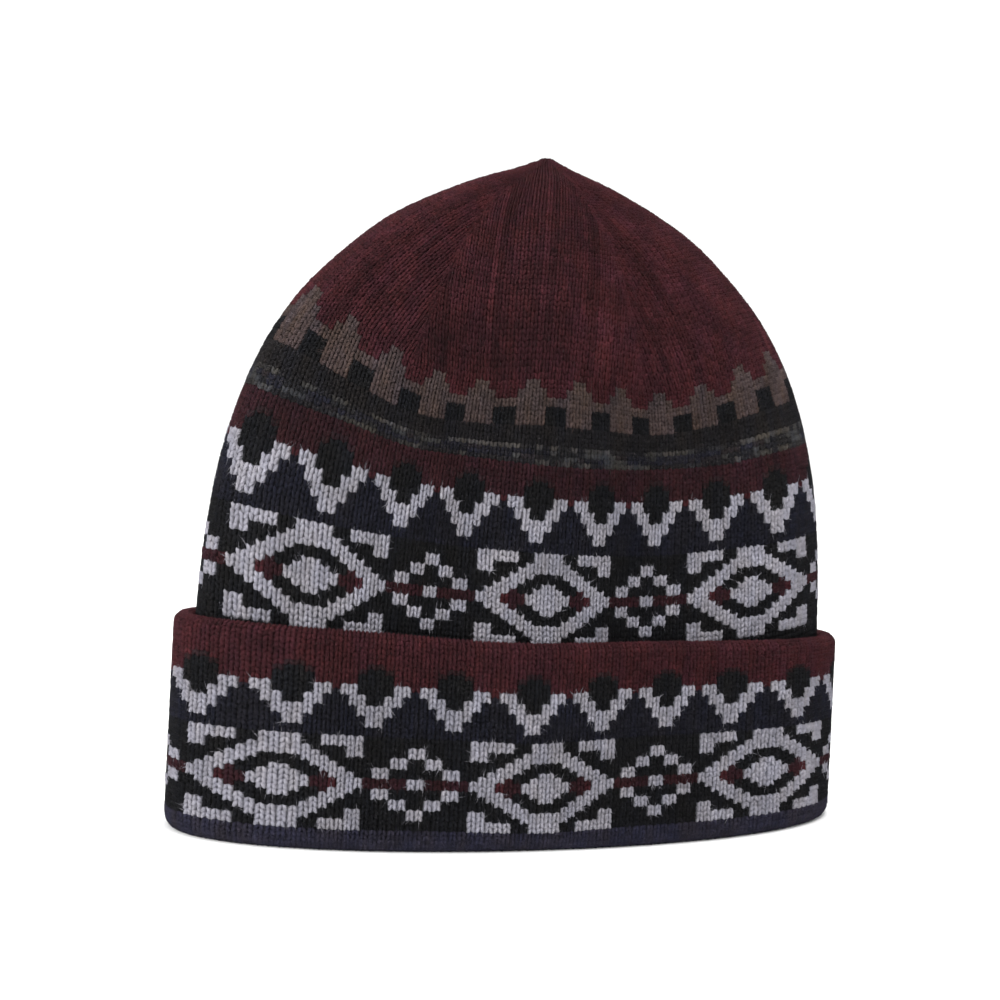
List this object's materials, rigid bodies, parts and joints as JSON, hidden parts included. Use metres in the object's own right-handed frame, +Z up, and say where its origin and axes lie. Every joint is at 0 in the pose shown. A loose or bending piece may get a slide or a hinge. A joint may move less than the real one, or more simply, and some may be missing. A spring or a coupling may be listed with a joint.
{
  "type": "cuffed beanie",
  "caption": "Knitted cap with a rounded, gathered crown, open below, and a turned-up cuff, patterned in bands of diamonds and zigzags.",
  "frame": {"origin": "on the floor under the hat, midway across and midway deep", "axes": "+Z up to the point of the crown, -Y out of the front, +X along the cuff from side fold to side fold"},
  "size_m": [0.22, 0.094, 0.21],
  "materials": {
    "knit_body": "brushed wool knit, patterned, matt",
    "knit_cuff": "brushed wool knit, patterned, matt"
  },
  "bodies": {
    "root": {"crown": "knit_body", "cuff": "knit_cuff"}
  },
  "joints": []
}
